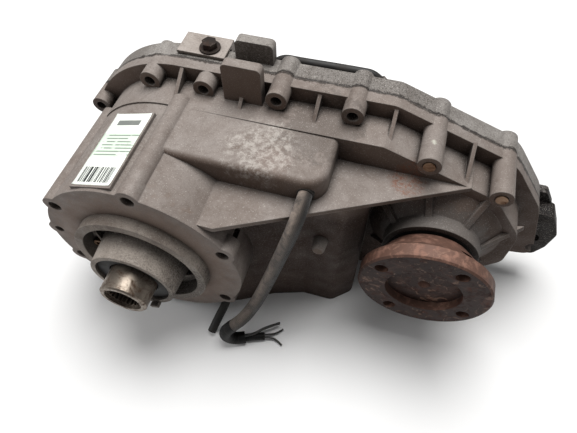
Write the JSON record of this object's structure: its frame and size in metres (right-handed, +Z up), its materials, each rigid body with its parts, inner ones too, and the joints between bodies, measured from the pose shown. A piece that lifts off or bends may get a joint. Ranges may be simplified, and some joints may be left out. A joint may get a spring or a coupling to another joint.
{
  "type": "transfer case",
  "caption": "Chain-driven transfer case in a two-piece cast housing, with flanged front and rear outputs, planetary low range and an electric shift.",
  "frame": {"origin": "on the input axis, in the front face of the transmission flange", "axes": "+Y runs rearward along the shafts, +X points from the input axis to the front output axis, +Z is up as the unit lies on its flat side"},
  "size_m": [0.4332, 0.2542, 0.216],
  "materials": {
    "cast_aluminium": "sand-cast, dusty",
    "retainer_aluminium": "cast, bead-blasted grey",
    "machined_steel": "ground",
    "gear_steel": "hardened, oiled",
    "plated_bolts": "zinc plated, dulled",
    "rusted_steel": "light surface rust",
    "black_rubber": "matt",
    "black_plastic": "moulded",
    "sealant": "squeezed sealant",
    "friction_facing": "paper facing",
    "coil_resin": "potted coil",
    "dark_bracket": "worn black",
    "magnet": "sintered",
    "cable_sleeve": "dusty woven sleeve",
    "cable_tape": "cloth tape",
    "wire_insulation": "thin insulation"
  },
  "bodies": {
    "case": {"front_case": "cast_aluminium", "rear_case": "cast_aluminium", "case_sealant": "sealant", "case_bolts": "plated_bolts", "case_dowels": "machined_steel", "fill_and_drain_plugs": "plated_bolts", "input_bearing_retainer": "retainer_aluminium", "retainer_bolts": "plated_bolts", "input_seal": "black_rubber", "input_bearing_outer": "machined_steel", "ring_gear": "gear_steel", "shift_rail": "machined_steel", "shift_motor": "black_plastic", "shift_motor_screws": "plated_bolts", "clutch_coil": "coil_resin", "oil_pump": "cast_aluminium", "speed_sensor": "black_plastic", "rear_bearing_outer": "machined_steel", "rear_seal": "black_rubber", "front_output_seal": "black_rubber", "front_output_bearing_outer": "machined_steel", "front_output_needle_bearing": "machined_steel", "drive_chain": "gear_steel", "hanger_bracket": "dark_bracket", "hanger_bolt": "rusted_steel", "level_plug": "cast_aluminium", "sump_magnet": "magnet", "harness_gland": "black_rubber", "breather_hose": "black_rubber", "harness_loom": "cable_sleeve", "harness_tape": "cable_tape", "harness_wires": "wire_insulation", "drain_tube": "black_rubber"},
    "input": {"input_shaft": "machined_steel", "input_bearing_inner": "machined_steel", "sun_gear": "gear_steel"},
    "carrier": {"planet_carrier": "gear_steel", "planet_pins": "machined_steel"},
    "planet_1": {"planet_gear_1": "gear_steel"},
    "planet_2": {"planet_gear_2": "gear_steel"},
    "planet_3": {"planet_gear_3": "gear_steel"},
    "planet_4": {"planet_gear_4": "gear_steel"},
    "collar": {"range_collar": "gear_steel"},
    "fork": {"range_fork": "cast_aluminium"},
    "cam": {"shift_cam": "gear_steel"},
    "main": {"main_shaft": "machined_steel", "clutch_hub": "gear_steel", "clutch_friction_plates": "friction_facing", "tone_wheel": "gear_steel", "rear_bearing_inner": "machined_steel", "rear_output_flange": "rusted_steel", "rear_flange_nut": "plated_bolts"},
    "apply": {"clutch_apply_plate": "gear_steel"},
    "drive": {"drive_sprocket": "gear_steel", "clutch_drum": "gear_steel", "clutch_steel_plates": "machined_steel"},
    "front_output": {"front_output_shaft": "rusted_steel", "front_output_bearing_inner": "machined_steel", "driven_sprocket": "gear_steel"}
  },
  "joints": [
    {"name": "input_spin", "type": "hinge", "parent": "case", "child": "input", "pos_m": [0, 0, 0], "axis": [0, 1, 0], "continuous": true},
    {"name": "carrier_spin", "type": "hinge", "parent": "case", "child": "carrier", "pos_m": [0, 0.053, 0], "axis": [0, 1, 0], "continuous": true},
    {"name": "planet_1_spin", "type": "hinge", "parent": "carrier", "child": "planet_1", "pos_m": [0.05425, 0.053, 0], "axis": [0, 1, 0], "continuous": true},
    {"name": "planet_2_spin", "type": "hinge", "parent": "carrier", "child": "planet_2", "pos_m": [0, 0.053, 0.05425], "axis": [0, 1, 0], "continuous": true},
    {"name": "planet_3_spin", "type": "hinge", "parent": "carrier", "child": "planet_3", "pos_m": [-0.05425, 0.053, 0], "axis": [0, 1, 0], "continuous": true},
    {"name": "planet_4_spin", "type": "hinge", "parent": "carrier", "child": "planet_4", "pos_m": [0, 0.053, -0.05425], "axis": [0, 1, 0], "continuous": true},
    {"name": "main_spin", "type": "hinge", "parent": "case", "child": "main", "pos_m": [0, 0.212, 0], "axis": [0, 1, 0], "continuous": true},
    {"name": "range_collar_slide", "type": "slide", "parent": "main", "child": "collar", "axis": [0, 1, 0], "range_m": [0, 0.008]},
    {"name": "range_fork_slide", "type": "slide", "parent": "case", "child": "fork", "axis": [0, 1, 0], "range_m": [0, 0.008]},
    {"name": "shift_cam_turn", "type": "hinge", "parent": "case", "child": "cam", "pos_m": [0.084, 0.094, -0.08], "axis": [0, -1, 0], "range_deg": [0, 120]},
    {"name": "clutch_apply_slide", "type": "slide", "parent": "main", "child": "apply", "axis": [0, -1, 0], "range_m": [0, 0.0006]},
    {"name": "drive_sprocket_spin", "type": "hinge", "parent": "case", "child": "drive", "pos_m": [0, 0.122, 0], "axis": [0, 1, 0], "continuous": true, "deforming": ["drive_chain"]},
    {"name": "front_output_spin", "type": "hinge", "parent": "case", "child": "front_output", "pos_m": [0.22384, 0.0291, 0], "axis": [0, 1, 0], "continuous": true, "deforming": ["drive_chain"]}
  ],
  "couplings": [
    {"joint": "carrier_spin", "follows": "input_spin", "ratio": 0.40323},
    {"joint": "main_spin", "follows": "input_spin", "ratio": 1},
    {"joint": "planet_1_spin", "follows": "input_spin", "ratio": -2.4866},
    {"joint": "planet_2_spin", "follows": "input_spin", "ratio": -2.4866},
    {"joint": "planet_3_spin", "follows": "input_spin", "ratio": -2.4866},
    {"joint": "planet_4_spin", "follows": "input_spin", "ratio": -2.4866},
    {"joint": "shift_cam_turn", "follows": "range_collar_slide", "rad_per_m": 261.8},
    {"joint": "range_fork_slide", "follows": "range_collar_slide", "ratio": 1},
    {"joint": "drive_sprocket_spin", "follows": "front_output_spin", "ratio": 1}
  ]
}
